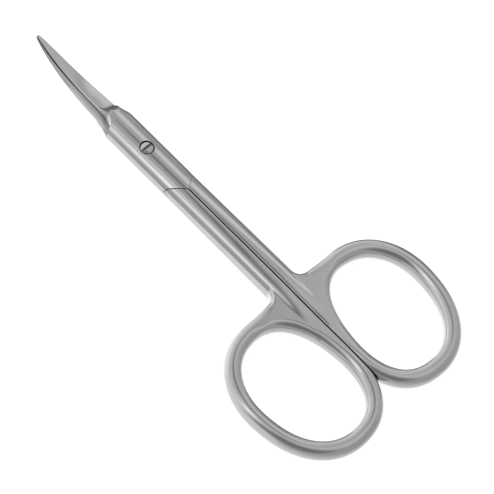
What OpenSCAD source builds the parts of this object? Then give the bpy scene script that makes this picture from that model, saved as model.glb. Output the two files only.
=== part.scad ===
// Cuticle scissors in polished stainless steel, with a lap joint and curved blades.
// Millimetres. The pivot axis is the Z axis, the table is z = 0, the tips point along +Y.
// The front half carries the screw head, the right shank and the right ring, seen from above.
// The rear half is the same forging turned over, so both come from one set of shapes.

/* [Overall] */
// Distance from the pivot to the blade tips
tip_reach = 29.3; // [27:0.1:31]
// Thickness of the closed joint on its centre line
joint_thick = 3.9; // [3.4:0.1:4.4]
// Width of the joint, side to side
joint_width = 6.12; // [5.8:0.02:6.4]
// Width of the chamfers along joint and shanks, which lie at 45 degrees
chamfer = 0.62; // [0.5:0.02:0.7]
// Half height of the upright side of the joint
joint_side = 0.82; // [0.7:0.02:0.95]
// Thickness of the rings and of the shanks at their roots
ring_thick = 3.4; // [3:0.1:3.8]
// Space between the two halves where they lap
lap_gap = 0.06; // [0.04:0.01:0.1]
// Space between the closed shanks
shank_gap = 0.16; // [0.1:0.02:0.3]

/* [Blades] */
// Radius of the upward curve of the blades
curve_radius = 40; // [34:1:50]
// Distance from the pivot at which that curve starts
curve_start = 14; // [12:0.5:16]
// Reach of a blade's cutting side from the centre line, at its root
edge_reach = 2.3; // [2.1:0.05:2.5]
// Reach of a blade's back from the centre line, at its root
back_reach = 0.65; // [0.5:0.05:0.8]
// Blade thickness along its back, at its root
back_thick = 0.6; // [0.5:0.05:0.8]
// Blade thickness along its back, at the tip
tip_thick = 0.3; // [0.25:0.01:0.4]
// Blade thickness left along the cutting edge
edge_thick = 0.08; // [0.06:0.01:0.15]
// Width of the ground bevel along the cutting edge
bevel = 0.25; // [0.15:0.05:0.4]
// Radius of the wheel that hollows the joint into the blade face, at the cutting side
wheel_radius = 1.15; // [1:0.05:1.4]

/* [Finger rings] */
// Half length of the finger hole
hole_long = 11.55; // [11:0.05:12]
// Half width of the finger hole
hole_wide = 8.51; // [8.1:0.01:8.9]
// Distance of the hole's centre from the centre line
hole_out = 11.03; // [10.9:0.01:11.3]
// Distance of the hole's centre behind the pivot
hole_back = 50.97; // [50:0.01:52]
// Lean of the hole away from the centre line, towards its front end
hole_lean = 6.9; // [5:0.1:9]
// Width of the ring's wire
wire = 3.25; // [3:0.05:3.5]
// Radius of the fillet between shank and ring
fillet = 2; // [1.6:0.1:2.4]

/* [Pivot screw] */
// Diameter of the screw head
head_d = 2.7; // [2.5:0.05:2.8]
// Diameter of the recess that the head sits in
recess_d = 2.95; // [2.9:0.05:3.1]
// Diameter of the screw's body
screw_d = 1.8; // [1.6:0.05:1.9]
// Radial clearance of the front half on the screw
screw_play = 0.04; // [0.02:0.01:0.08]
// Width of the screwdriver slot
slot_w = 0.5; // [0.4:0.05:0.6]
// Depth of the screwdriver slot
slot_depth = 0.45; // [0.3:0.05:0.6]

/* [Hidden] */
steel = "silver";
eps = 0.01;

// Heights are measured from the middle plane, where the two halves lap
mid = joint_thick / 2;
rim = ring_thick / 2;
half_w = joint_width / 2;
lap = lap_gap / 2;
inner_x = shank_gap / 2;
// The shank is a little lower and narrower than the joint pad that it carries
pad_step = 0.03;

// Shank and web
shank_root = -33;
shank_root_w = half_w + 0.03;
shank_end = -7.2;
seam_foot = -10.7;
seam_gap = 0.16;
inner_chamfer = 0.12;

// Joint, neck and blade stations along Y
neck_start = 6.95;
neck_run = 2;
fall_start = 7.4;
neck_fall = 4.3;
roll_width = 0.3;
back_roll = 0.08;
neck_hollow = 1.4;
face_edge_start = 10.7;
face_back_start = 11.5;
wheel_growth = 0.6;
edge_face = 0.3;
blade_root = 9.5;

// Screw
head_floor = 0.95;
head_rim = 1.72;
head_crown = 2.12;

function mix(a, b, k) = a + (b - a) * k;
function unit(k) = min(1, max(0, k));
function smooth(k) = let (u = unit(k)) u * u * (3 - 2 * u);
function sq(v) = v * v;
// Rounded edge: 0 on the edge, 1 from distance r inwards, squarer with a higher p
function edge(d, r, p) = d >= r ? 1 : d <= 0 ? 0 : pow(1 - pow(1 - d / r, p), 1 / p);
// A power that keeps the sign, for superellipses
function spow(v, p) = sign(v) * pow(abs(v), p);

// Finger hole: a leaning superellipse, a little blunter on its inner side
function hole(t) =
    let (u = hole_wide * spow(cos(t), 0.88),
         v = hole_long * spow(sin(t), 0.88) * (1 - 0.058 * cos(t)))
    [hole_out + u * cos(hole_lean) + v * sin(hole_lean),
     -hole_back - u * sin(hole_lean) + v * cos(hole_lean)];
function hole_normal(t) =
    let (d = hole(t + 0.5) - hole(t - 0.5)) [d.y, -d.x] / norm(d);
// Distance along the normal to the ring's outer edge, wider where the two rings touch
function wire_at(t) = wire + 1.6 * (1 - smooth((t - 168) / 24));

// Outer corner between shank and ring: a fillet round this centre
top_turn = 95;
web_turn = 168;
ring_top = (hole(top_turn) + wire * hole_normal(top_turn)).y;
corner = [shank_root_w + fillet, ring_top + fillet];
function side_distance(p) =
    let (dx = corner.x - p.x, dy = corner.y - p.y)
    (dy < 0 ? dx : dx < 0 ? dy : norm([dx, dy])) - fillet;

function shank_w(y) =
    mix(shank_root_w, half_w - pad_step, unit((y - shank_root) / (shank_end - shank_root)));

// Upright side, 45 degree chamfer and crowned top of a bar: half height at x for a side that is
// d away, of half height side; the crown rises from the chamfer's upper edge to centre
function bar_h(x, d, side, centre) =
    let (rise = centre - side - chamfer)
    min(side + d, side + chamfer + rise * max(0, 1 - sq(x / (half_w - chamfer))));

// Half thickness of the handle at a point, from its distances to the hole and to the outer side;
// bar is 0 on the ring's round wire and 1 on the shank
function handle_h(p, d_in, d_out, bar) =
    let (side = mix(rim - chamfer, joint_side, unit((p.y - shank_root) / (shank_end - shank_root))),
         centre = mix(rim, mid - pad_step, smooth((p.y + 46) / 11)),
         body = edge(d_in, 1.62, 2.6)
                * mix(rim * edge(d_out, 1.62, 2.6), bar_h(p.x, d_out, side, centre), bar))
    body <= inner_chamfer ? body : body - max(0, inner_chamfer - (p.x - inner_x));

// Lines that run from the hole's edge to the outer side: [inner end, outer end, full width of the
// wire there, kind, bend]. Kind is 0 on the ring's wire and 1 on the web, where lines are curved.
across = [0, 0.012, 0.035, 0.08, 0.15, 0.27, 0.42, 0.58, 0.73, 0.85, 0.93, 0.975, 1];
last = len(across) - 1;
root_steps = [0, 0.03, 0.08, 0.18, 0.35, 0.55, 0.78, 0.96, 1];

function cut_length(p, n, full) =
    n.x >= 0 ? full : min(full, (p.x - inner_x) / -n.x);
function ring_line(t) =
    let (p = hole(t), n = hole_normal(t), full = wire_at(t))
    [p, p + n * cut_length(p, n, full), full, 0, [0, 0]];
function web_line(t, q, bend) = [hole(t), q, 0, 1, bend];

ring_lines = [for (i = [0 : 51]) ring_line(mix(web_turn, 360 + top_turn, i / 51))];
top_lines = [for (i = [1 : 3])
    let (q = [mix(ring_lines[51][1].x, corner.x, i / 4), ring_top])
    web_line(mix(top_turn, 107, i / 4), q, q + [0, -1.4])];
fillet_lines = [for (i = [0 : 5])
    let (q = corner + fillet * [cos(270 - 18 * i), sin(270 - 18 * i)])
    web_line(mix(107, 122, i / 5), q, q + [-0.07 * i, -1.2 - 0.14 * i])];
root_lines = [for (f = root_steps)
    web_line(mix(125, 146, f), [mix(shank_root_w, inner_x, f), shank_root],
             [mix(1.9, 0.5, f), mix(shank_root - 2.6, shank_root - 5, f)])];
wall_foot = ring_lines[0][1].y;
wall_lines = [for (i = [1 : 6])
    web_line(mix(146, web_turn, i / 7), [inner_x, mix(shank_root, wall_foot, i / 7)],
             [mix(0.7, 1.6, i / 6), mix(shank_root - 5.2, wall_foot + 0.6, i / 6)])];
lines = concat(ring_lines, top_lines, fillet_lines, root_lines, wall_lines);
count = len(lines);
first_root = len(ring_lines) + len(top_lines) + len(fillet_lines);
last_root = first_root + len(root_steps) - 1;

function on_line(l, f) =
    l[3] == 0 ? mix(l[0], l[1], f)
    : sq(1 - f) * l[0] + 2 * f * (1 - f) * l[4] + sq(f) * l[1];
function line_point(i, j) =
    let (l = lines[i % count], f = across[j], p = on_line(l, f),
         d_out = l[3] == 0 ? l[2] - norm(p - l[0]) : side_distance(p),
         k = l[3] == 0 ? 0 : smooth((9.5 - p.x) / 5))
    [p.x, p.y, j == 0 ? 0 : handle_h(p, norm(p - l[0]), max(0, d_out), k)];

// The shank carries the root lines on towards the joint
shank_rows = [-28, -22, -16, -11, -9, shank_end];
function shank_point(i, row) =
    let (y = shank_rows[row], w = shank_w(y),
         x = mix(w, inner_x, root_steps[i - first_root]))
    [x, y, handle_h([x, y], 9, w - x, 1)];

handle_top = concat(
    [for (i = [0 : count - 1]) for (j = [0 : last]) line_point(i, j)],
    [for (i = [first_root : last_root]) for (row = [0 : len(shank_rows) - 1]) shank_point(i, row)]);
top_count = len(handle_top);

function index(i, j) =
    j <= last ? (i % count) * (last + 1) + j
    : count * (last + 1) + (i - first_root) * len(shank_rows) + j - last - 1;
// Top and bottom share the points that lie on the ridge
function under(a) = handle_top[a].z < eps ? a : a + top_count;

function quad(a, b, c, d) = [[a, b, c], [a, c, d]];
function clean(faces) =
    [for (f = faces) if (f[0] != f[1] && f[1] != f[2] && f[2] != f[0]) f];
function both(a, b, c, d) =
    concat(quad(a, b, c, d), quad(under(d), under(c), under(b), under(a)));
function wall(a, b) = quad(a, b, under(b), under(a));

end_row = last + len(shank_rows);
handle_faces = clean([
    for (i = [0 : count - 1]) for (j = [0 : last - 1])
        each both(index(i, j), index(i + 1, j), index(i + 1, j + 1), index(i, j + 1)),
    for (i = [first_root : last_root - 1]) for (j = [last : end_row - 1])
        each both(index(i, j), index(i + 1, j), index(i + 1, j + 1), index(i, j + 1)),
    for (i = [0 : count - 1]) if (i < first_root || i >= last_root)
        each wall(index(i, last), index(i + 1, last)),
    for (j = [last : end_row - 1]) each wall(index(last_root, j + 1), index(last_root, j)),
    for (j = [last : end_row - 1]) each wall(index(first_root, j), index(first_root, j + 1)),
    for (i = [first_root : last_root - 1]) each wall(index(i, end_row), index(i + 1, end_row))
]);

module handle() {
    polyhedron(
        points = concat(handle_top, [for (p = handle_top) [p.x, p.y, -p.z]]),
        faces = handle_faces,
        convexity = 6);
}

// Upward curve of the blades: a surface turned round the pivot, so they slide when they open
function lift(r) =
    r <= curve_start ? 0 : curve_radius - sqrt(sq(curve_radius) - sq(r - curve_start));

// Plan outline of joint and blade: cutting side and back
function taper(y, start, power) =
    pow(1 - pow(unit((y - start) / (tip_reach + 0.12 - start)), power), 0.6);
function edge_x(y) =
    min(half_w, edge_reach * taper(y, blade_root, 1.3)
                + (half_w - edge_reach) * exp(-sq(max(0, y - neck_start) / neck_run)));
// The neck's back is hollowed, so it starts with a corner at the joint
function back_x(y) =
    min(half_w, back_reach * taper(y, blade_root, 2.2)
                + (half_w - back_reach) * exp((neck_start - y) / neck_hollow));

// Height of the outer surface: the crowned joint, cut away by the hollowing wheel to the blade face
function joint_h(x, y) = bar_h(x, min(edge_x(y) - x, half_w + x), joint_side, mid);
// The neck's top falls to the blade's back, and its crown starts again from there
function neck_h(x, y) =
    mix(joint_side + chamfer, lap + back_thick, smooth((y - fall_start) / neck_fall))
    + (mid - joint_side - chamfer) * (1 - sq(min(0, (x + back_x(y)) / (half_w - chamfer) - 1)))
    - back_roll * sq(max(0, 1 - (x + back_x(y)) / roll_width)) * unit((y - fall_start) / neck_fall);
function face_h(x, y) =
    let (across_blade = unit((edge_x(y) - x) / (edge_x(y) + back_x(y))),
         thick = mix(back_thick, tip_thick, unit((y - blade_root) / (tip_reach - blade_root))),
         inwards = 1 - sq(1 - across_blade),
         run = max(0, mix(face_edge_start, face_back_start, inwards) - y),
         radius = wheel_radius + wheel_growth * inwards)
    mix(edge_face, thick, across_blade) * smooth((tip_reach + 1.5 - y) / 3)
    + (run >= radius ? mid : radius - sqrt(sq(radius) - sq(run)));
// The cutting side carries a bevel, which runs out into the neck
function bevel_h(x, y) =
    edge_thick + max(0, edge_x(y) - x) * edge_face / bevel + 3 * max(0, face_edge_start - 0.2 - y);
function outer_h(x, y) =
    max(lap, min(joint_h(x, y), neck_h(x, y), lap + min(face_h(x, y), bevel_h(x, y))));

side_steps = [0, 0.003, 0.05, 0.092, 0.101, 0.112, 0.16, 0.24, 0.34, 0.44];
section_steps = concat(side_steps, [0.5], [for (i = [len(side_steps) - 1 : -1 : 0]) 1 - side_steps[i]]);
lap_steps = [0.75, 0.5, 0.25];
blade_rows = [-11.5, -6, 0, 5, neck_start - 0.05, for (y = [neck_start + 0.1 : 0.2 : 12.3]) y,
              for (i = [1 : 16]) mix(12.5, tip_reach, i / 16)];
function section_x(f, y) = mix(edge_x(y), -back_x(y), f);
function section(y) = concat(
    [for (f = section_steps) let (x = section_x(f, y))
        [x, y, f == 0 || f == 1 ? lap : outer_h(x, y)]],
    [for (f = lap_steps) [section_x(f, y), y, lap]]);

// One half's joint pad and blade; side is 1 for the front half and -1 for the rear half,
// which is turned over before both are curved upwards
module blade(side) {
    sections = [for (y = blade_rows) section(y)];
    n = len(sections[0]);
    m = len(sections);
    points = [for (s = sections) for (p = s) [side * p.x, p.y, side * p.z + lift(norm([p.x, p.y]))]];
    polyhedron(
        points = points,
        faces = concat(
            [for (k = [0 : m - 2]) for (i = [0 : n - 1]) let (i2 = (i + 1) % n)
                each quad(k * n + i, k * n + i2, (k + 1) * n + i2, (k + 1) * n + i)],
            [[for (i = [n - 1 : -1 : 0]) i]],
            [[for (i = [0 : n - 1]) (m - 1) * n + i]]),
        convexity = 6);
}

// Everything beside and below the V-shaped foot of the joint pad
module pad_foot() {
    linear_extrude(2 * joint_thick, center = true)
        polygon([[-4, seam_foot + 4], [0, seam_foot], [4, seam_foot + 1.6], [4, -13], [-4, -13]]);
}

// Where the other half's pad turns it clears this half's shank, below the lap
module shank_cut() {
    translate([0, 0, -joint_thick])
        linear_extrude(joint_thick + lap + 0.3)
            polygon([[-4, 0], [-4, seam_foot - seam_gap], [0, seam_foot - seam_gap],
                     [4, seam_foot - seam_gap + 4], [4, 0]]);
}

// One closed skin of handle, joint pad and blade, in the front half's position
module half_skin(side) {
    resize([0, 0, 0]) union() {
        rotate([0, side > 0 ? 0 : 180, 0]) difference() {
            handle();
            shank_cut();
        }
        difference() {
            blade(side);
            rotate([0, side > 0 ? 0 : 180, 0]) pad_foot();
        }
    }
}

module front_half() {
    color(steel) translate([0, 0, mid]) difference() {
        half_skin(1);
        translate([0, 0, -1]) cylinder(h = 4, d = screw_d + 2 * screw_play, $fn = 96);
        translate([0, 0, head_floor]) cylinder(h = 2, d = recess_d, $fn = 96);
    }
}

module rear_half() {
    color(steel) translate([0, 0, mid]) difference() {
        half_skin(-1);
        translate([0, 0, -mid - 1]) cylinder(h = mid + 2, d = screw_d, $fn = 96);
    }
}

// Cheese-head screw with a low dome and one slot, its end flush with the rear half's back
module pivot_screw() {
    floor_z = head_floor + 0.02;
    rise = head_crown - head_rim;
    dome_r = (sq(head_d / 2) + sq(rise)) / (2 * rise);
    color(steel) translate([0, 0, mid]) difference() {
        union() {
            translate([0, 0, -mid]) cylinder(h = mid + floor_z + eps, d = screw_d, $fn = 96);
            rotate_extrude($fn = 96) polygon(concat(
                [[0, floor_z], [head_d / 2, floor_z]],
                [for (i = [0 : 8]) let (a = mix(asin(head_d / 2 / dome_r), 0, i / 8))
                    [dome_r * sin(a), head_crown - dome_r + dome_r * cos(a)]]));
        }
        translate([-head_d, -slot_w / 2, head_crown - slot_depth]) cube([2 * head_d, slot_w, 1]);
    }
}

front_half();
rear_half();
pivot_screw();
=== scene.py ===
"""Looks of the cuticle scissors: polished steel halves, screw, pale floor, soft studio light."""

import math

import bmesh
import bpy
import numpy as np
from mathutils import Matrix, Vector


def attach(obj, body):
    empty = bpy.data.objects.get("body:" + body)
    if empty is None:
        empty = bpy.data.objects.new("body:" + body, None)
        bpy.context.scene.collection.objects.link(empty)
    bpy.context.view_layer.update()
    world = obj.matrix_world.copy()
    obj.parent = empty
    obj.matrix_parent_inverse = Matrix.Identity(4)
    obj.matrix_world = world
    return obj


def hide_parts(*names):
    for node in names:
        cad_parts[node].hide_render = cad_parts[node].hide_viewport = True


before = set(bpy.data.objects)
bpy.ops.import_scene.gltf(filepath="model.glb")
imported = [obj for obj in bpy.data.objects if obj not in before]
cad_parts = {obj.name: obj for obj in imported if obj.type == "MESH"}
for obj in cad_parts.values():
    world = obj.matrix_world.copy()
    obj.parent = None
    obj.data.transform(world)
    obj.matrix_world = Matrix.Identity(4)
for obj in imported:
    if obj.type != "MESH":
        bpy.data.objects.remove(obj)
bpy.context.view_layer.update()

MM = 0.001

# Shapes, in millimetres. Most are the part's own sizes; the small edges are finer than in the part.
JOINT_THICK = 3.9
JOINT_WIDTH = 6.12
JOINT_SIDE = 0.82
CHAMFER = 0.62
RING_THICK = 3.4
LAP_GAP = 0.06
SHANK_GAP = 0.22
MID = JOINT_THICK / 2
RIM = RING_THICK / 2
HALF_W = JOINT_WIDTH / 2
LAP = LAP_GAP / 2
INNER_X = SHANK_GAP / 2

# Finger hole: half sizes, centre and lean, and how far its outline leaves an ellipse
HOLE_LONG = 11.55
HOLE_WIDE = 8.51
HOLE_OUT = 11.03
HOLE_BACK = 50.97
HOLE_LEAN = math.radians(6.9)
HOLE_SQUARE = 0.88
HOLE_EGG = 0.058

# Ring and web: the wire's width, its rolled edge and its swelling beside the web
WIRE = 3.25
RING_POWER = 2.2
RING_EDGE = 1.62
RING_SWELL = 1.6
SWELL_TURN = 24.0
FILLET = 2.0
FILLET_STEPS = 5
BAR_REACH = 9.5
BAR_FADE = 5.0

# Turns round the hole, in degrees, where the skin's lines pass on to the next outer edge
TOP_TURN = 95.0
FILLET_TURN = 107.0
CORNER_TURN = 122.0
ROOT_TURN = 125.0
INNER_TURN = 146.0
WEB_TURN = 168.0

# Bends of the web's lines, as distances from the outer edge or the shank's root
TOP_BEND = 1.4
CORNER_BEND = 1.2
CORNER_BEND_STEP = (-0.07, -0.14)
ROOT_BEND = (1.9, -2.6)
INNER_BEND = (0.5, -5.0)
INNER_DROP = 0.05
FOOT_BEND = (1.75, 0.75)

# Shank
PAD_STEP = 0.05
SHANK_ROOT = -33.0
SHANK_ROOT_W = HALF_W + 0.03
SHANK_MIDDLE = -12.0
SHANK_END = -7.2
INNER_CHAMFER = 0.09
# Slow roll of each shank towards the space between the two
GAP_ROLL = 0.035
GAP_ROLL_WIDTH = 0.62
# Where the shank's crown fades into the flat web
CROWN_FADE_START = -44.0
CROWN_FADE = 10.0
# How softly the chamfers run into the crowned top
ROLL = 0.12
CROWN_EDGE = 1.06
# The crown is a power curve: from a plain arc to one with a flat middle
CROWN_ARC = 2
CROWN_FLAT = 5

# Foot of the joint's pad, and the fine line where it ends on the shank
SEAM_FOOT = -10.85
SEAM_GAP = 0.2
SEAM_STEP = 0.3
FOOT_END = -13.0
CREASE_SLOPE = 0.65
CREASE_START = 0.12
CREASE_PAST = 0.2
CREASE_STEPS = 24
CREASE_W = 0.16
CREASE_DEPTH = 0.12

# Neck between the joint and the blade
NECK_START = 6.95
NECK_RUN = 2.0
NECK_HOLLOW = 1.4
NECK_BASE = 1.75
NECK_RISE = 0.3
FALL_START = 9.2
NECK_FALL = 3.2
SHOULDER_X = 2.2
SHOULDER_Y = 8.8
SHOULDER_Z = 1.5
SHOULDER_SLOPE = 0.4
SHOULDER_END = 10.4
SHOULDER_ROLL = 0.08

# Blade
BLADE_ROOT = 9.5
TIP_REACH = 29.2
TIP_ROUND = 0.35
TIP_BLUNT = 0.94
TIP_TAPER = 0.5
TAPER_POWER = 0.6
TIP_THIN = 3.0
CURVE_RADIUS = 40
CURVE_START = 14
EDGE_REACH = 2.3
EDGE_TAPER = 1.3
BACK_REACH = 0.65
BACK_TAPER = 2.2
BACK_THICK = 0.6
TIP_THICK = 0.3
FACE_POWER = 1.5
# Bevel along the cutting edge
EDGE_THICK = 0.08
EDGE_FACE = 0.3
BEVEL = 0.25
BEVEL_START = 10.45
BEVEL_RUN = 3
# Back edge of the blade: a soft roll and a narrow steep facet
BACK_ROLL = 0.24
BACK_ROLL_STEEP = 1.5
BACK_FACET = 0.24
FLANK = 1.45
BACK_START = 0.2
BACK_FADE = 0.5
# Hollow at the blade's root, cut by a grinding wheel
FACE_START = 11.0
FACE_LEAN = 0.8
FACE_SWEEP = 1.1
FACE_TURN = 0.7
HOLLOW = 1.1
# Hollow grinding of the inner faces
INNER_HOLLOW = 0.1
INNER_START = 7.4
INNER_FADE = 1.2
INNER_END = 1.0
INNER_TIP_FADE = 8.0

# Screw
HEAD_D = 2.58
RECESS_D = 2.82
SCREW_D = 1.8
SCREW_PLAY = 0.04
HEAD_FLOOR = 0.95
HEAD_PLAY = 0.02
HEAD_RIM = 1.72
HEAD_CROWN = 2.12
RIM_WIDE = 0.08
RIM_HIGH = 0.1
RIM_STEPS = 6
DOME_START = 0.94
DOME_STEPS = 16
SLOT_W = 0.54
SLOT_DEPTH = 0.6
ROUND_STEPS = 128

# How far the cutters reach, so that they pass what they cut
WIDE = 4.0
HIGH = 3.0
PAST = 1.0

# Faces that meet at more degrees than this have a sharp edge
SHARP_FROM = 28


def mix(a, b, k):
    return a + (b - a) * k


def unit(k):
    return np.clip(k, 0.0, 1.0)


def smooth(k):
    u = unit(k)
    return u * u * (3 - 2 * u)


def soft_min(a, b, r):
    """The smaller of a and b, rounded off over about r where they cross."""
    h = np.maximum(r - np.abs(a - b), 0.0) / r
    return np.minimum(a, b) - h * h * r / 4


def rolled_edge(d, r, p):
    """Rises from 0 at an edge to 1 at distance r from it, along a rounded profile of power p."""
    inside = unit(1 - d / r)
    return np.where(d >= r, 1.0, (1 - inside**p) ** (1 / p))


def signed_power(v, p):
    return np.sign(v) * np.abs(v) ** p


def hole(t):
    """Points on the finger hole's edge at turns t, in degrees."""
    a = np.radians(t)
    u = HOLE_WIDE * signed_power(np.cos(a), HOLE_SQUARE)
    v = HOLE_LONG * signed_power(np.sin(a), HOLE_SQUARE) * (1 - HOLE_EGG * np.cos(a))
    return np.stack([HOLE_OUT + u * math.cos(HOLE_LEAN) + v * math.sin(HOLE_LEAN),
                     -HOLE_BACK - u * math.sin(HOLE_LEAN) + v * math.cos(HOLE_LEAN)], -1)


def hole_normal(t):
    d = hole(t + 0.5) - hole(t - 0.5)
    n = np.stack([d[..., 1], -d[..., 0]], -1)
    return n / np.linalg.norm(n, axis=-1, keepdims=True)


RING_TOP = float((hole(np.array(TOP_TURN)) + WIRE * hole_normal(np.array(TOP_TURN)))[1])
CORNER = np.array([SHANK_ROOT_W + FILLET, RING_TOP + FILLET])


def side_distance(p):
    """How far points lie inside the outer side that the shank, the fillet and the ring's top make."""
    dx = CORNER[0] - p[..., 0]
    dy = CORNER[1] - p[..., 1]
    return np.where(dy < 0, dx, np.where(dx < 0, dy, np.hypot(dx, dy))) - FILLET


def along_shank(y):
    return unit((y - SHANK_ROOT) / (SHANK_END - SHANK_ROOT))


def bar_h(x, d, side, centre):
    """Upright side, chamfer and crown; a low crown is flat in the middle and rolls off at its sides."""
    rise = centre - side - CHAMFER
    power = np.clip(CROWN_EDGE / np.maximum(rise, 0.01), CROWN_ARC, CROWN_FLAT)
    across = np.minimum(1, np.abs(x / (HALF_W - CHAMFER)))
    crown = side + CHAMFER + rise * np.maximum(0, 1 - across**power)
    return soft_min(side + d, crown, ROLL)


def handle_h(p, d_in, d_out, bar):
    """Half thickness of ring, web and shank; bar is 1 on the shank and 0 on the ring."""
    x, y = p[..., 0], p[..., 1]
    side = mix(RIM - CHAMFER, JOINT_SIDE, along_shank(y))
    centre = mix(RIM, MID - PAD_STEP, smooth((y - CROWN_FADE_START) / CROWN_FADE))
    ring = RIM * rolled_edge(d_out, RING_EDGE, RING_POWER)
    body = rolled_edge(d_in, RING_EDGE, RING_POWER) * mix(ring, bar_h(x, d_out, side, centre), bar)
    body = body - bar * GAP_ROLL * np.maximum(0, 1 - (x - INNER_X) / GAP_ROLL_WIDTH) ** 2
    return np.where(body <= INNER_CHAMFER, body, body - np.maximum(0, INNER_CHAMFER - (x - INNER_X)))


# The handle's skin is drawn along lines from the hole's edge to the outer side. Each line has its
# hole point, its outer point, its full width, its kind (0 on the ring, 1 on the web) and its bend.
def ring_line(t):
    p, n = hole(t), hole_normal(t)
    full = WIRE + RING_SWELL * (1 - smooth((t - WEB_TURN) / SWELL_TURN))
    reach = full if n[0] >= 0 else min(full, (p[0] - INNER_X) / -n[0])
    return p, p + n * reach, full, 0.0, p


def web_line(t, q, bend):
    return hole(t), np.array(q, float), 0.0, 1.0, np.array(bend, float)


def stations(spans, extra=()):
    """Rising places along an axis, from spans of start, end and count, and single ones."""
    parts = [np.linspace(*span) for span in spans]
    return np.unique(np.concatenate(parts + [np.asarray(extra, float)]).round(5))


def root_steps(fine):
    """Fractions across the shank, closer together at its chamfers."""
    return stations([(0.01, 0.24, 3 * fine), (0.24, 0.94, 9 * fine), (0.945, 1, 2 * fine)], [0, 0.004])


def across_steps(fine):
    """Fractions from the hole to the outer side, closer together at both."""
    return (1 - np.cos(np.linspace(0, math.pi, 14 * fine + 1))) / 2


def all_lines(fine):
    """The lines once round the handle, and the numbers of those at the shank's two root corners."""
    turns = 51 * fine
    rows = [ring_line(mix(WEB_TURN, 360 + TOP_TURN, i / turns)) for i in range(turns + 1)]
    ring_end = rows[-1][1][0]
    foot = rows[0][1][1]
    for i in range(1, 4 * fine):
        f = i / (4 * fine)
        q = np.array([mix(ring_end, CORNER[0], f), RING_TOP])
        rows.append(web_line(mix(TOP_TURN, FILLET_TURN, f), q, q - [0, TOP_BEND]))
    for i in range(FILLET_STEPS * fine + 1):
        k = i / fine
        a = math.radians(270 - 90 * k / FILLET_STEPS)
        q = CORNER + FILLET * np.array([math.cos(a), math.sin(a)])
        bend = q + [CORNER_BEND_STEP[0] * k, CORNER_BEND_STEP[1] * k - CORNER_BEND]
        rows.append(web_line(mix(FILLET_TURN, CORNER_TURN, k / FILLET_STEPS), q, bend))
    last = rows[-1]
    root_q = np.array([SHANK_ROOT_W, SHANK_ROOT])
    root_bend = np.array([ROOT_BEND[0], SHANK_ROOT + ROOT_BEND[1]])
    inner_bend = np.array([INNER_BEND[0], SHANK_ROOT + INNER_BEND[1]])
    foot_bend = np.array([FOOT_BEND[0], foot + FOOT_BEND[1]])
    for i in range(1, 2 * fine):
        f = i / (2 * fine)
        q = mix(last[1], root_q, f)
        rows.append(web_line(mix(CORNER_TURN, ROOT_TURN, f), q, mix(last[4], root_bend, f)))
    root = len(rows)
    for f in root_steps(fine):
        q = [mix(SHANK_ROOT_W, INNER_X, f), SHANK_ROOT]
        rows.append(web_line(mix(ROOT_TURN, INNER_TURN, f), q, mix(root_bend, inner_bend, f)))
    root_end = len(rows) - 1
    for i in range(1, 7 * fine):
        f = i / (7 * fine)
        q = [INNER_X, mix(SHANK_ROOT, foot, f)]
        bend = mix(inner_bend - [0, INNER_DROP], foot_bend, f)
        rows.append(web_line(mix(INNER_TURN, WEB_TURN, f), q, bend))
    return rows, root, root_end


def grid_faces(a):
    """Quads of a grid of point numbers."""
    return np.stack([a[:-1, :-1], a[1:, :-1], a[1:, 1:], a[:-1, 1:]], -1).reshape(-1, 4)


def grip_skin(rows, fine):
    """Top points of ring and web, one row of points for each line."""
    p0, p1, full, kind, bend = [np.array([r[k] for r in rows])[:, None] for k in range(5)]
    f = across_steps(fine)[None, :, None]
    curved = (1 - f) ** 2 * p0 + 2 * f * (1 - f) * bend + f**2 * p1
    p = np.where(kind[..., None] == 0, mix(p0, p1, f), curved)
    d_in = np.linalg.norm(p - p0, axis=-1)
    d_out = np.maximum(0, np.where(kind == 0, full - d_in, side_distance(p)))
    bar = np.where(kind == 0, 0.0, smooth((BAR_REACH - p[..., 0]) / BAR_FADE))
    z = handle_h(p, d_in, d_out, bar)
    z[:, 0] = 0
    return np.concatenate([p, z[..., None]], -1)


def shank_skin(fine):
    """Top points of the shank, across and then along."""
    ys = np.concatenate([np.linspace(SHANK_ROOT, SHANK_MIDDLE, 16)[1:],
                         np.linspace(SHANK_MIDDLE, SHANK_END, 40)[1:]])
    w = mix(SHANK_ROOT_W, HALF_W - PAD_STEP, along_shank(ys))[None, :]
    x = mix(w, INNER_X, root_steps(fine)[:, None])
    p = np.stack([x, np.broadcast_to(ys, x.shape)], -1)
    past_the_hole = np.full(x.shape, 9.0)
    z = handle_h(p, past_the_hole, w - x, np.ones(x.shape))
    return np.concatenate([p, z[..., None]], -1)


def handle(fine=3):
    """Points and faces of the handle's closed skin, in the front half's position."""
    rows, root, root_end = all_lines(fine)
    grip = grip_skin(rows, fine)
    bar = shank_skin(fine)
    top = np.concatenate([grip.reshape(-1, 3), bar.reshape(-1, 3)])
    count = len(top)
    ids = np.arange(grip.shape[0] * grip.shape[1]).reshape(grip.shape[:2])
    bar_ids = ids.size + np.arange(bar.shape[0] * bar.shape[1]).reshape(bar.shape[:2])
    shank = np.concatenate([ids[root:root_end + 1, -1:], bar_ids], 1)
    upper = np.concatenate([grid_faces(np.concatenate([ids, ids[:1]])), grid_faces(shank)])
    # Points at the middle height serve both skins
    below = np.where(top[:, 2] < 0.01, np.arange(count), np.arange(count) + count)
    lower = below[upper[:, ::-1]]
    # The outer walls follow this loop of points
    loop = list(ids[:root + 1, -1]) + list(shank[0, 1:]) + list(shank[1:, -1])
    loop += list(shank[-1, -2::-1]) + list(ids[root_end + 1:, -1]) + [ids[0, -1]]
    loop = np.array(loop)
    wall = np.stack([loop[:-1], loop[1:], below[loop[1:]], below[loop[:-1]]], -1)
    points = np.concatenate([top, top * [1, 1, -1]])
    return points, np.concatenate([upper, lower, wall])


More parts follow.
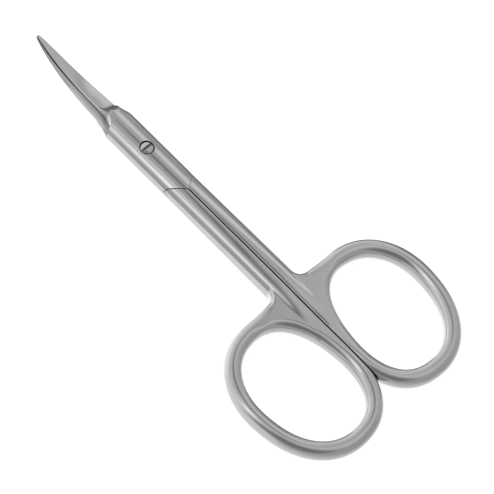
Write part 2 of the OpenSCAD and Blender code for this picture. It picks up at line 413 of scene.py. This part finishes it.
def lift(r):
    """Rise of the lapping surface at distance r from the screw's axis."""
    past = np.maximum(0, r - CURVE_START)
    return np.where(r <= CURVE_START, 0.0, CURVE_RADIUS - np.sqrt(CURVE_RADIUS**2 - past**2))


def taper(y, power):
    """Narrowing towards the tip, which is rounded off."""
    narrow = (1 - unit((y - BLADE_ROOT) / (TIP_REACH + TIP_TAPER - BLADE_ROOT)) ** power) ** TAPER_POWER
    return narrow * np.sqrt(1 - unit((y - TIP_REACH + TIP_ROUND) / TIP_ROUND) ** 2 * TIP_BLUNT)


def edge_x(y):
    """Distance of the cutting side from the axis."""
    flare = np.exp(-(np.maximum(0, y - NECK_START) / NECK_RUN) ** 2)
    return np.minimum(HALF_W, EDGE_REACH * taper(y, EDGE_TAPER) + (HALF_W - EDGE_REACH) * flare)


def back_x(y):
    """Distance of the back from the axis."""
    flare = np.exp((NECK_START - y) / NECK_HOLLOW)
    return np.minimum(HALF_W, BACK_REACH * taper(y, BACK_TAPER) + (HALF_W - BACK_REACH) * flare)


def joint_and_neck(x, y, edge_d, back):
    """Height of the joint's crown, the neck that falls from it and the shoulder ground across."""
    joint = bar_h(x, np.minimum(edge_d, HALF_W + x), JOINT_SIDE, MID)
    fall = smooth((y - FALL_START) / NECK_FALL)
    neck = (mix(NECK_BASE, LAP + BACK_THICK, fall)
            + NECK_RISE * (1 - np.maximum(0, 1 - back / (HALF_W - CHAMFER)) ** 2))
    shoulder = SHOULDER_Z - SHOULDER_SLOPE * (x - SHOULDER_X + np.minimum(y, SHOULDER_END) - SHOULDER_Y)
    return soft_min(soft_min(joint, neck, ROLL), shoulder, SHOULDER_ROLL)


def blade_face(y, over):
    """Height of the blade's face and of the wheel's hollow at its root; over is 1 at the back."""
    thick = mix(BACK_THICK, TIP_THICK, unit((y - BLADE_ROOT) / (TIP_REACH - BLADE_ROOT)))
    sweep = FACE_SWEEP * smooth((over - FACE_TURN) / (1 - FACE_TURN))
    run = np.maximum(0, FACE_START + FACE_LEAN * over + sweep - y)
    thin = smooth((TIP_REACH + TIP_THIN / 2 - y) / TIP_THIN)
    return LAP + mix(EDGE_FACE, thick, 1 - (1 - over) ** FACE_POWER) * thin + run**2 / (2 * HOLLOW)


def outer_h(x, y):
    """Height of the outer skin over the flat lap, from the joint to the tip."""
    ex, bx = edge_x(y), back_x(y)
    edge_d, back = ex - x, x + bx
    skin = np.minimum(joint_and_neck(x, y, edge_d, back), blade_face(y, unit(edge_d / (ex + bx))))
    small = unit((ex + bx) / 2) * smooth((y - NECK_START - BACK_START) / BACK_FADE)
    roll = (BACK_ROLL_STEEP * np.maximum(0, BACK_ROLL * small - back) ** 2
            + FLANK * np.maximum(0, BACK_FACET * small * (skin - LAP) - back))
    bevel = (LAP + EDGE_THICK + np.maximum(0, edge_d) * EDGE_FACE / BEVEL
             + BEVEL_RUN * np.maximum(0, BEVEL_START - y))
    return np.maximum(LAP, np.minimum(skin - roll, bevel))


def blade(side):
    """Points and faces of one half's joint pad and blade, curved upwards."""
    # Start, end and count of each span: the points lie closer together where the form turns
    round_start = TIP_REACH - TIP_ROUND
    ys = stations([(-11.5, -6.5, 60), (-6.5, NECK_START - 0.05, 40), (NECK_START, 12.5, 112),
                   (12.5, 26, 60), (26, round_start, 18)],
                  TIP_REACH - TIP_ROUND * np.cos(np.linspace(0, math.pi / 2, 10)))
    across = stations([(0, 0.16, 26), (0.16, 0.84, 44), (0.84, 1, 40)], [0.002, 0.998])
    laps = np.linspace(1, 0, 17)[1:-1]
    y = ys[:, None]
    x = mix(edge_x(y), -back_x(y), across[None, :])
    z = outer_h(x, y)
    z[:, 0] = LAP
    z[:, -1] = LAP
    inner_x = mix(edge_x(y), -back_x(y), laps[None, :])
    along = smooth((y - INNER_START) / INNER_FADE) * smooth((TIP_REACH + INNER_END - y) / INNER_TIP_FADE)
    inner_z = LAP + INNER_HOLLOW * along * 4 * laps * (1 - laps)
    xs = np.concatenate([x, inner_x], 1)
    zs = np.concatenate([z, inner_z], 1)
    yy = np.broadcast_to(y, xs.shape)
    points = np.stack([side * xs, yy, side * zs + lift(np.hypot(xs, yy))], -1)
    ids = np.arange(xs.size).reshape(xs.shape)
    ring = np.concatenate([ids, ids[:, :1]], 1)
    faces = [list(f) for f in grid_faces(ring)[:, ::-1]]
    faces += [list(ids[0]), list(ids[-1][::-1])]
    return points.reshape(-1, 3), faces


def mesh_object(name, points, faces):
    """A closed object from points in millimetres and faces, with its faces turned outwards."""
    clean = []
    for f in faces:
        corners = [int(v) for i, v in enumerate(f) if v != f[i - 1]]
        if len(set(corners)) >= 3:
            clean.append(corners)
    mesh = bpy.data.meshes.new(name)
    mesh.from_pydata((np.asarray(points, float) * MM).tolist(), [], clean)
    mesh.validate()
    bm = bmesh.new()
    bm.from_mesh(mesh)
    loose = [v for v in bm.verts if not v.link_faces]
    bmesh.ops.delete(bm, geom=loose, context="VERTS")
    bmesh.ops.recalc_face_normals(bm, faces=bm.faces)
    bm.to_mesh(mesh)
    bm.free()
    obj = bpy.data.objects.new(name, mesh)
    bpy.context.scene.collection.objects.link(obj)
    return obj


def between(name, first, second):
    """A closed object between two equal outlines of points."""
    n = len(first)
    faces = [list(range(n))[::-1], list(range(n, 2 * n))]
    faces += [[i, (i + 1) % n, n + (i + 1) % n, n + i] for i in range(n)]
    return mesh_object(name, first + second, faces)


def prism(name, outline, z0, z1):
    return between(name, [(x, y, z0) for x, y in outline], [(x, y, z1) for x, y in outline])


def circle(radius):
    turns = [2 * math.pi * i / ROUND_STEPS for i in range(ROUND_STEPS)]
    return [(radius * math.cos(t), radius * math.sin(t)) for t in turns]


def combine(obj, other, how):
    """Joins other to obj or cuts it out of obj, and removes other."""
    mod = obj.modifiers.new("combine", "BOOLEAN")
    mod.operation = how
    mod.solver = "MANIFOLD"
    mod.object = other
    bpy.context.view_layer.update()
    graph = bpy.context.evaluated_depsgraph_get()
    made = bpy.data.meshes.new_from_object(obj.evaluated_get(graph))
    obj.modifiers.clear()
    obj.data = made
    bpy.data.objects.remove(other)


def crease():
    """The cutter for the fine line where the joint's pad ends on the shank."""
    xs = np.linspace(CREASE_START, HALF_W + CREASE_PAST, CREASE_STEPS)
    on_pad = np.minimum(xs, HALF_W)
    bottom = bar_h(on_pad, HALF_W - on_pad, JOINT_SIDE, MID) - CREASE_DEPTH
    outline = list(zip(xs, bottom)) + [(xs[-1], HIGH), (xs[0], HIGH)]
    sides = [[(x, SEAM_FOOT + CREASE_SLOPE * x + k * CREASE_W / 2, z) for x, z in outline] for k in (-1, 1)]
    return between("crease", *sides)


def half(name, side):
    """One half; side is 1 for the front half and -1 for the rear half, which is turned over."""
    grip = mesh_object(name, *handle())
    low = SEAM_FOOT - SEAM_GAP
    notch = prism("notch", [(-WIDE, 0), (-WIDE, low), (0, low), (WIDE, low + WIDE), (WIDE, 0)],
                  -JOINT_THICK, LAP + SEAM_STEP)
    combine(grip, notch, "DIFFERENCE")
    pad = mesh_object("pad", *blade(side))
    foot = prism("foot", [(-WIDE, SEAM_FOOT + WIDE), (0, SEAM_FOOT), (WIDE, SEAM_FOOT + WIDE * CREASE_SLOPE),
                          (WIDE, FOOT_END), (-WIDE, FOOT_END)], -JOINT_THICK, JOINT_THICK)
    line = crease()
    if side < 0:
        for obj in (grip, foot, line):
            obj.data.transform(Matrix.Rotation(math.pi, 4, "Y"))
    combine(pad, foot, "DIFFERENCE")
    combine(grip, pad, "UNION")
    combine(grip, line, "DIFFERENCE")
    if side > 0:
        combine(grip, prism("bore", circle(SCREW_D / 2 + SCREW_PLAY), -PAST, HIGH), "DIFFERENCE")
        combine(grip, prism("recess", circle(RECESS_D / 2), HEAD_FLOOR, HIGH), "DIFFERENCE")
    else:
        combine(grip, prism("bore", circle(SCREW_D / 2), -MID - PAST, PAST), "DIFFERENCE")
    grip.data.transform(Matrix.Translation((0, 0, MID * MM)))
    return grip


def screw_profile():
    """Radii and heights of the screw: shank, rounded rim and dome."""
    head_r = HEAD_D / 2
    rise = HEAD_CROWN - HEAD_RIM
    dome = (head_r**2 + rise**2) / (2 * rise)
    floor_z = HEAD_FLOOR + HEAD_PLAY
    profile = [(SCREW_D / 2, -MID), (SCREW_D / 2, floor_z), (head_r, floor_z)]
    for i in range(RIM_STEPS):
        a = math.radians(90 - 90 * i / RIM_STEPS)
        profile.append((head_r - RIM_WIDE * (1 - math.sin(a)), HEAD_RIM - RIM_HIGH * (1 - math.cos(a))))
    for i in range(1, DOME_STEPS + 1):
        a = math.asin(head_r / dome) * DOME_START * (1 - i / (DOME_STEPS + 0.5))
        profile.append((dome * math.sin(a), HEAD_CROWN - dome + dome * math.cos(a)))
    return profile


def screw(name):
    """The screw with its domed head and slot."""
    profile = screw_profile()
    n = ROUND_STEPS
    points = [(0, 0, -MID)]
    for r, z in profile:
        points += [(x, y, z) for x, y in circle(r)]
    points.append((0, 0, HEAD_CROWN))
    faces = [[0, 1 + (i + 1) % n, 1 + i] for i in range(n)]
    for k in range(len(profile) - 1):
        a, b = 1 + k * n, 1 + (k + 1) * n
        faces += [[a + i, a + (i + 1) % n, b + (i + 1) % n, b + i] for i in range(n)]
    top = 1 + (len(profile) - 1) * n
    faces += [[top + i, top + (i + 1) % n, len(points) - 1] for i in range(n)]
    obj = mesh_object(name, points, faces)
    w = SLOT_W / 2
    slot = prism("slot", [(-HIGH, -w), (HIGH, -w), (HIGH, w), (-HIGH, w)], HEAD_CROWN - SLOT_DEPTH, HIGH)
    combine(obj, slot, "DIFFERENCE")
    obj.data.transform(Matrix.Translation((0, 0, MID * MM)))
    return obj


# Steel. Tones are shares of white, noise scales are repeats per metre.
BLADE_TONE = 0.60
BLADE_ROUGH = 0.105
BLADE_GRAIN = (5200, 500, 5200)
# Occlusion at which the painted shade in the blades' gaps and corners is darkest
BLADE_SHADE_AO = 0.3
SCREW_TONE = 0.62
SCREW_ROUGH = 0.12
SCREW_GRAIN = (3000, 3000, 900)
# Occlusion at which the painted shade in the screw's slot and corners is darkest
SCREW_SHADE_AO = 0.55
CLOUD = (220, 220, 220)
FLECK = (2400, 2400, 2400)
FLECK_DETAIL = 2.0
# The middle range of a noise, where nearly all its values lie
NOISE_LOW = 0.3
NOISE_HIGH = 0.7
# Shares by which the grain changes the roughness, and what the cloud adds to it
SMOOTHER = 0.75
ROUGHER = 1.25
WEAR_LOW = -0.02
WEAR_HIGH = 0.03
DULL = (0.96, 0.96, 0.965)
BRIGHT = (1.03, 1.03, 1.03)
# Painted shade in gaps and corners: the reach and softness of the ambient occlusion, and the dark tone
SHADE_REACH = 0.5 * MM
SHADE_FADE = 0.3
RECESS_SHADE_TONE = (0.07, 0.068, 0.065, 1)
# Painted shade: the dark tone given to the hollow at the blade's root
HOLLOW_SHADE_TONE = (0.15, 0.15, 0.15, 1)
# The painted shade in the wheel's hollow starts and ends softly along the blade, on faces that tilt towards
# the tip
HOLLOW_SHADE_STARTS = (9.2 * MM, 9.6 * MM)
HOLLOW_SHADE_ENDS = (13 * MM, 12 * MM)
HOLLOW_SHADE_TILT = (0.05, 0.5)
EDGE_ROUND = 0.07 * MM
GRAIN_DEPTH = 0.004 * MM
GRAIN_STRENGTH = 0.12
FLECK_DEPTH = 0.003 * MM
FLECK_STRENGTH = 0.1

# Sockets of a mix node that mixes colours
MIX_A = 6
MIX_B = 7
MIX_OUT = 2


def node(tree, kind, at=(0, 0), **values):
    made = tree.nodes.new(kind)
    made.location = at
    for key, value in values.items():
        setattr(made, key, value)
    return made


def noise(tree, place, scale, at, detail=3.0):
    mapping = node(tree, "ShaderNodeMapping", (at[0] - 200, at[1]))
    mapping.inputs["Scale"].default_value = scale
    tree.links.new(place, mapping.inputs[0])
    tex = node(tree, "ShaderNodeTexNoise", at)
    tex.inputs["Scale"].default_value = 1.0
    tex.inputs["Detail"].default_value = detail
    tree.links.new(mapping.outputs[0], tex.inputs[0])
    return tex.outputs["Fac"]


def ranged(tree, source, start, end, at, lo=0, hi=1, ease="LINEAR"):
    """Turns start to end of the source into lo to hi."""
    made = node(tree, "ShaderNodeMapRange", at, interpolation_type=ease)
    made.inputs["From Min"].default_value = start
    made.inputs["From Max"].default_value = end
    made.inputs["To Min"].default_value = lo
    made.inputs["To Max"].default_value = hi
    tree.links.new(source, made.inputs["Value"])
    return made.outputs["Result"]


def maths(tree, how, a, b, at):
    made = node(tree, "ShaderNodeMath", at, operation=how)
    tree.links.new(a, made.inputs[0])
    tree.links.new(b, made.inputs[1])
    return made.outputs[0]


def blended(tree, share, a, b, at):
    """A mix of two colours, each a colour or an output."""
    made = node(tree, "ShaderNodeMix", at, data_type="RGBA")
    tree.links.new(share, made.inputs[0])
    for socket, colour in ((made.inputs[MIX_A], a), (made.inputs[MIX_B], b)):
        if isinstance(colour, tuple):
            socket.default_value = colour
        else:
            tree.links.new(colour, socket)
    return made.outputs[MIX_OUT]


def unshaded_share(tree, dark):
    """1 on open steel, less in gaps and corners, where painted shade darkens the tone."""
    hidden = node(tree, "ShaderNodeAmbientOcclusion", (250, 700), samples=8)
    hidden.inputs["Distance"].default_value = SHADE_REACH
    return ranged(tree, hidden.outputs["AO"], dark, dark + SHADE_FADE, (420, 700))


def hollow_shade_share(tree, where):
    """1 in the hollow that the wheel left at the blade's root, where the tone is darkened as painted shade.
    """
    place = node(tree, "ShaderNodeSeparateXYZ", (-600, 900))
    tree.links.new(where.outputs["Object"], place.inputs[0])
    facing = node(tree, "ShaderNodeSeparateXYZ", (-600, 1100))
    tree.links.new(where.outputs["Normal"], facing.inputs[0])
    after = ranged(tree, place.outputs["Y"], *HOLLOW_SHADE_STARTS, (-400, 900), ease="SMOOTHSTEP")
    before = ranged(tree, place.outputs["Y"], *HOLLOW_SHADE_ENDS, (-400, 800), ease="SMOOTHSTEP")
    tilted = ranged(tree, facing.outputs["Y"], *HOLLOW_SHADE_TILT, (-400, 1100), ease="SMOOTHSTEP")
    near = maths(tree, "MULTIPLY", after, before, (-200, 900))
    return maths(tree, "MULTIPLY", near, tilted, (0, 1000))


def relief(tree, grain, fleck):
    """Fine grain and flecks over softly rounded edges."""
    rounded = node(tree, "ShaderNodeBevel", (100, -400), samples=8)
    rounded.inputs["Radius"].default_value = EDGE_ROUND
    normal = rounded.outputs[0]
    for height, strength, depth, at in ((grain, GRAIN_STRENGTH, GRAIN_DEPTH, (350, -200)),
                                        (fleck, FLECK_STRENGTH, FLECK_DEPTH, (450, -400))):
        bump = node(tree, "ShaderNodeBump", at)
        bump.inputs["Strength"].default_value = strength
        bump.inputs["Distance"].default_value = depth
        tree.links.new(height, bump.inputs["Height"])
        tree.links.new(normal, bump.inputs["Normal"])
        normal = bump.outputs[0]
    return normal


def steel(name, tone, rough, grain_scale, dark):
    """Polished steel with a fine satin grain along the part, faint wear, and painted shade in gaps, corners
    and the hollow at the blade's root.
    """
    mat = bpy.data.materials.new(name)
    mat.use_nodes = True
    tree = mat.node_tree
    tree.nodes.clear()
    out = node(tree, "ShaderNodeOutputMaterial", (900, 0))
    bsdf = node(tree, "ShaderNodeBsdfPrincipled", (600, 0))
    tree.links.new(bsdf.outputs[0], out.inputs[0])
    bsdf.inputs["Metallic"].default_value = 1.0
    where = node(tree, "ShaderNodeTexCoord", (-900, 0))
    grain = noise(tree, where.outputs["Object"], grain_scale, (-500, 300))
    cloud = noise(tree, where.outputs["Object"], CLOUD, (-500, 0))
    fleck = noise(tree, where.outputs["Object"], FLECK, (-500, -300), FLECK_DETAIL)
    brushed = ranged(tree, grain, NOISE_LOW, NOISE_HIGH, (-200, 300), rough * SMOOTHER, rough * ROUGHER)
    worn = ranged(tree, cloud, NOISE_LOW, NOISE_HIGH, (-200, 100), WEAR_LOW, WEAR_HIGH)
    tree.links.new(maths(tree, "ADD", brushed, worn, (50, 200)), bsdf.inputs["Roughness"])
    dull = (*(tone * share for share in DULL), 1)
    bright = (*(tone * share for share in BRIGHT), 1)
    clouded = ranged(tree, cloud, NOISE_LOW, NOISE_HIGH, (0, 500))
    polished = blended(tree, clouded, dull, bright, (250, 400))
    # Painted shade: the tone goes dark in gaps and corners, by ambient occlusion
    recess_shaded = blended(tree, unshaded_share(tree, dark), RECESS_SHADE_TONE, polished, (450, 400))
    # Painted shade: the hollow at the blade's root, on faces tilting towards the tip, is darkened
    ground = blended(tree, hollow_shade_share(tree, where), recess_shaded, HOLLOW_SHADE_TONE, (600, 500))
    tree.links.new(ground, bsdf.inputs["Base Color"])
    tree.links.new(relief(tree, grain, fleck), bsdf.inputs["Normal"])
    return mat


blade_steel = steel("blade_steel", BLADE_TONE, BLADE_ROUGH, BLADE_GRAIN, BLADE_SHADE_AO)
screw_steel = steel("screw_steel", SCREW_TONE, SCREW_ROUGH, SCREW_GRAIN, SCREW_SHADE_AO)

pieces = [
    (half("front_steel", 1), "front_half", "front", "blade_steel", blade_steel),
    (half("rear_steel", -1), "rear_half", "rear", "blade_steel", blade_steel),
    (screw("screw_steel"), "pivot_screw", "rear", "screw_steel", screw_steel),
]
for obj, cad_node, body, slot_name, material in pieces:
    obj.data.shade_smooth()
    obj.data.set_sharp_from_angle(angle=math.radians(SHARP_FROM))
    obj.data.materials.clear()
    obj.data.materials.append(material)
    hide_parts(cad_node)
    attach(obj, body)
    for cad_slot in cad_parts[cad_node].material_slots:
        cad_slot.material = material


# Camera, at the photograph's viewing angle: heading from +X, height over the floor and roll
HEADING = math.radians(27.0245)
HEIGHT = math.radians(62.517)
TURN = math.radians(20.23)
AWAY = 0.437
AIM = Vector((0.71015, -25.46407, MID))
AIM_RIGHT = -0.0153
AIM_UP = 0.0344
SENSOR = 36
PHOTO_PX = 494
FOCAL_PX = 2455.04


def camera():
    ahead = Vector((math.cos(HEADING), math.sin(HEADING), 0))
    sideways = Vector((ahead.y, -ahead.x, 0))
    upwards = ahead * math.sin(HEIGHT) + Vector((0, 0, math.cos(HEIGHT)))
    towards = Vector((0, 0, math.sin(HEIGHT))) - ahead * math.cos(HEIGHT)
    right = sideways * math.cos(TURN) + upwards * math.sin(TURN)
    up = upwards * math.cos(TURN) - sideways * math.sin(TURN)
    target = (AIM + AIM_RIGHT * right + AIM_UP * up) * MM
    data = bpy.data.cameras.new("camera")
    data.sensor_width = SENSOR
    data.lens = SENSOR * FOCAL_PX / PHOTO_PX
    data.clip_start = 0.01
    data.clip_end = 20
    obj = bpy.data.objects.new("camera", data)
    bpy.context.scene.collection.objects.link(obj)
    rotation = Matrix((right, up, towards)).transposed().to_4x4()
    obj.matrix_world = Matrix.Translation(target + towards * AWAY) @ rotation
    bpy.context.scene.camera = obj


camera()

FLOOR_REACH = 1.5
FLOOR_DROP = 0.02 * MM
FLOOR_TONE = (0.8, 0.8, 0.8, 1)
FLOOR_GLOW = 0.72


def floor_material():
    """A pale matt floor, lifted to white where the camera sees it, which keeps the shadow."""
    mat = bpy.data.materials.new("floor")
    mat.use_nodes = True
    tree = mat.node_tree
    tree.nodes.clear()
    out = node(tree, "ShaderNodeOutputMaterial", (600, 0))
    diffuse = node(tree, "ShaderNodeBsdfDiffuse", (0, 200))
    diffuse.inputs["Color"].default_value = FLOOR_TONE
    glow = node(tree, "ShaderNodeEmission", (0, -100))
    glow.inputs["Color"].default_value = (1, 1, 1, 1)
    path = node(tree, "ShaderNodeLightPath", (-500, 0))
    direct, through = path.outputs["Is Camera Ray"], path.outputs["Is Transmission Ray"]
    seen = maths(tree, "MAXIMUM", direct, through, (-250, 0))
    strength = node(tree, "ShaderNodeMath", (-120, -100), operation="MULTIPLY")
    strength.inputs[1].default_value = FLOOR_GLOW
    tree.links.new(seen, strength.inputs[0])
    tree.links.new(strength.outputs[0], glow.inputs["Strength"])
    add = node(tree, "ShaderNodeAddShader", (300, 0))
    tree.links.new(diffuse.outputs[0], add.inputs[0])
    tree.links.new(glow.outputs[0], add.inputs[1])
    tree.links.new(add.outputs[0], out.inputs[0])
    return mat


def floor():
    """The floor under the scissors. It isn't seen in reflections: the studio's lower patches are."""
    mesh = bpy.data.meshes.new("floor")
    corners = [(-FLOOR_REACH, -FLOOR_REACH, 0), (FLOOR_REACH, -FLOOR_REACH, 0),
               (FLOOR_REACH, FLOOR_REACH, 0), (-FLOOR_REACH, FLOOR_REACH, 0)]
    mesh.from_pydata(corners, [], [(0, 1, 2, 3)])
    obj = bpy.data.objects.new("floor", mesh)
    bpy.context.scene.collection.objects.link(obj)
    obj.location.z = -FLOOR_DROP
    obj.data.materials.append(floor_material())
    obj.visible_glossy = False


floor()

# Soft patches of the studio, over an even surround: azimuth from +X towards +Y and elevation, radii
# of the core and the rim in degrees, brightness. Most were fitted by a scratch program to the tones
# of the steel in the photograph, and the others were set by hand. A later patch covers earlier ones.
SURROUND = 0.53
PATCHES = [
    (0, -90, 44, 104, 0.74),
    (91, -35, 33, 120, 1.0),
    (-23, 79, 20, 24, 0.69),
    (-145, 55, 2, 44, 0.24),
    (79, -45, 17, 45, 1.38),
    (-74, 19, 10, 50, 0.47),
    (37, -19, 17, 30, 0.37),
    (6, 4, 5, 15, 1.0),
    (125, 60, 4, 26, 1.3),
    (147, 44, 4, 17, 0.95),
    (107, 56, 17, 20, 0.72),
    (71, 38, 8, 13, 0.79),
    (-4, 48, 6, 18, 0.62),
    (99, 0, 14, 30, 1.13),
    (141, 18, 7, 20, 0.9),
    (73, 70, 6, 9, 0.54),
    (168, 25, 5, 7, 0.49),
    (141, 70, 2.5, 5, 1.6),
    (35, 69, 2.5, 8, 0.26),
    (19, 48, 5, 9, 0.88),
    (14, 30, 5, 8.5, 0.42),
    (13, -3, 14, 22, 0.2),
    (178, 3, 10, 18, 0.9),
]


def direction(azimuth, elevation):
    a, e = math.radians(azimuth), math.radians(elevation)
    return Vector((math.cos(a) * math.cos(e), math.sin(a) * math.cos(e), math.sin(e)))


def studio():
    """The room that the steel reflects: a grey surround with soft patches; white to the camera."""
    world = bpy.data.worlds.new("studio")
    bpy.context.scene.world = world
    world.use_nodes = True
    tree = world.node_tree
    tree.nodes.clear()
    out = node(tree, "ShaderNodeOutputWorld", (1500, 0))
    where = node(tree, "ShaderNodeTexCoord", (-900, 0))
    level = None
    for k, (azimuth, elevation, inner, outer, value) in enumerate(PATCHES):
        dot = node(tree, "ShaderNodeVectorMath", (-600, -200 * k), operation="DOT_PRODUCT")
        tree.links.new(where.outputs["Generated"], dot.inputs[0])
        dot.inputs[1].default_value = direction(azimuth, elevation)
        rim, core = math.cos(math.radians(outer)), math.cos(math.radians(inner))
        share = ranged(tree, dot.outputs["Value"], rim, core, (-350, -200 * k), ease="SMOOTHSTEP")
        blend = node(tree, "ShaderNodeMix", (-100, -200 * k), data_type="FLOAT")
        tree.links.new(share, blend.inputs[0])
        if level is None:
            blend.inputs[2].default_value = SURROUND
        else:
            tree.links.new(level, blend.inputs[2])
        blend.inputs[3].default_value = value
        level = blend.outputs[0]
    path = node(tree, "ShaderNodeLightPath", (300, 300))
    seen = node(tree, "ShaderNodeMix", (600, 0), data_type="FLOAT")
    tree.links.new(path.outputs["Is Camera Ray"], seen.inputs[0])
    tree.links.new(level, seen.inputs[2])
    seen.inputs[3].default_value = 1.0
    back = node(tree, "ShaderNodeBackground", (1000, 0))
    back.inputs["Color"].default_value = (1, 1, 1, 1)
    tree.links.new(seen.outputs[0], back.inputs["Strength"])
    tree.links.new(back.outputs[0], out.inputs[0])


studio()

bpy.context.scene.view_settings.view_transform = "Standard"
